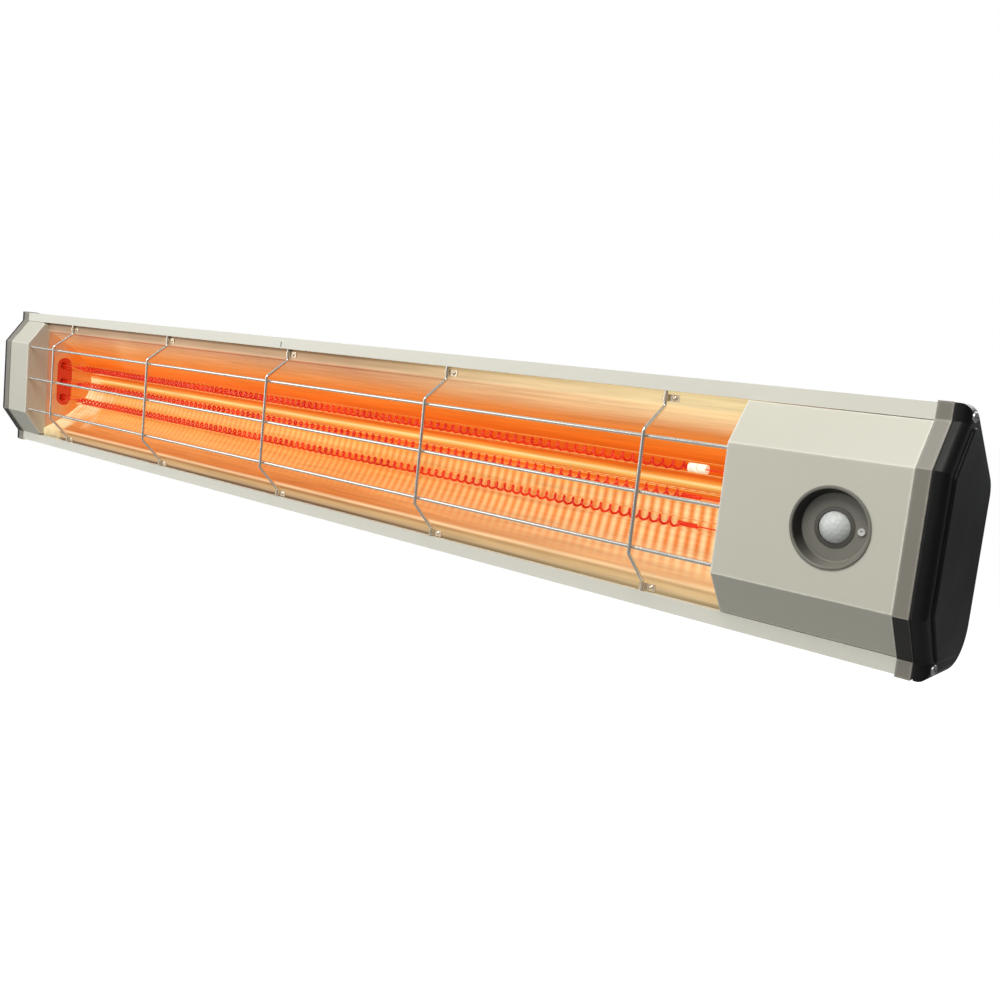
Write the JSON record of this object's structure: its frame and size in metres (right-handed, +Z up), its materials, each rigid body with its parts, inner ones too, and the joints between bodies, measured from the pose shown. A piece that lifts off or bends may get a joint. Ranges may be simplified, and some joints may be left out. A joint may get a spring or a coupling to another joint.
{
  "type": "wall-mounted infrared heater",
  "caption": "Wall-mounted infrared heater: quartz tubes in a mirrored trough behind a wire guard, motion sensor on the control end, tilting brackets.",
  "frame": {"origin": "centre of the four wall bolts, on the wall's surface", "axes": "+X along the heater towards the control end, +Y into the wall, +Z up; the heated side faces -Y"},
  "size_m": [1.2112, 0.1532, 0.1694],
  "materials": {
    "housing_paint": "fine powder coat, light warm grey, satin",
    "cover_paint": "fine powder coat, light warm grey, satin",
    "ring_plastic": "moulded grey plastic, satin",
    "gasket_rubber": "black silicone rubber, matte",
    "end_plastic": "moulded black plastic, semi-gloss",
    "mirror_aluminium": "rolled bright, mirror-like with fine lengthwise lines",
    "plate_steel": "bright sheet",
    "ceramic": "fired steatite ceramic, matt",
    "quartz": "clear fused quartz",
    "hot_wire": "resistance wire, glowing red",
    "wire_steel": "drawn stainless wire, satin",
    "fastener_steel": "zinc-plated steel",
    "bracket_paint": "dark grey powder coat",
    "cup_plastic": "moulded grey plastic, satin",
    "lens_plastic": "milky polyethylene with small moulded facets",
    "board_green": "fibreglass circuit board, solder mask",
    "relay_blue": "moulded plastic",
    "lead_sleeve": "braided glass sleeve",
    "nickel": "nickel strip",
    "brass_can": "plated can",
    "black_nylon": "black nylon, matt"
  },
  "bodies": {
    "wall_mount": {"wall_bracket_left": "bracket_paint", "wall_bracket_right": "bracket_paint", "pivot_bolts": "fastener_steel", "pivot_washers": "fastener_steel", "pivot_nuts": "fastener_steel"},
    "heater": {"housing": "housing_paint", "control_cover": "cover_paint", "left_cover": "cover_paint", "trim_ring_left": "ring_plastic", "trim_ring_right": "ring_plastic", "end_gasket_left": "gasket_rubber", "end_gasket_right": "gasket_rubber", "end_cover_left": "end_plastic", "end_cover_right": "end_plastic", "end_cover_screws": "fastener_steel", "reflector": "mirror_aluminium", "reflector_end_left": "mirror_aluminium", "reflector_end_right": "mirror_aluminium", "tube_holder_left": "ceramic", "tube_holder_right": "ceramic", "tube_caps_left": "ceramic", "tube_caps_right": "ceramic", "quartz_tube_top": "quartz", "quartz_tube_middle": "quartz", "quartz_tube_bottom": "quartz", "heating_coil_top": "hot_wire", "heating_coil_middle": "hot_wire", "heating_coil_bottom": "hot_wire", "coil_beads": "ceramic", "guard_long_wires": "wire_steel", "guard_cross_wires": "wire_steel", "guard_clips": "plate_steel", "guard_rivets": "fastener_steel", "sensor_cup": "cup_plastic", "lens_ring": "cup_plastic", "sensor_lens": "lens_plastic", "cup_screw": "fastener_steel", "sensor_board": "board_green", "pir_sensor": "brass_can", "control_board": "board_green", "board_posts": "black_nylon", "relays": "relay_blue", "terminal_block": "ceramic", "common_strip": "nickel", "return_lead": "lead_sleeve", "feed_leads": "lead_sleeve", "cable_gland": "black_nylon", "gland_nut": "black_nylon", "tilt_arm_left": "bracket_paint", "tilt_arm_right": "bracket_paint", "tilt_arm_screws": "fastener_steel"}
  },
  "joints": [
    {"name": "tilt", "type": "hinge", "parent": "wall_mount", "child": "heater", "pos_m": [0, -0.034, 0], "axis": [1, 0, 0], "range_deg": [0, 45]}
  ]
}
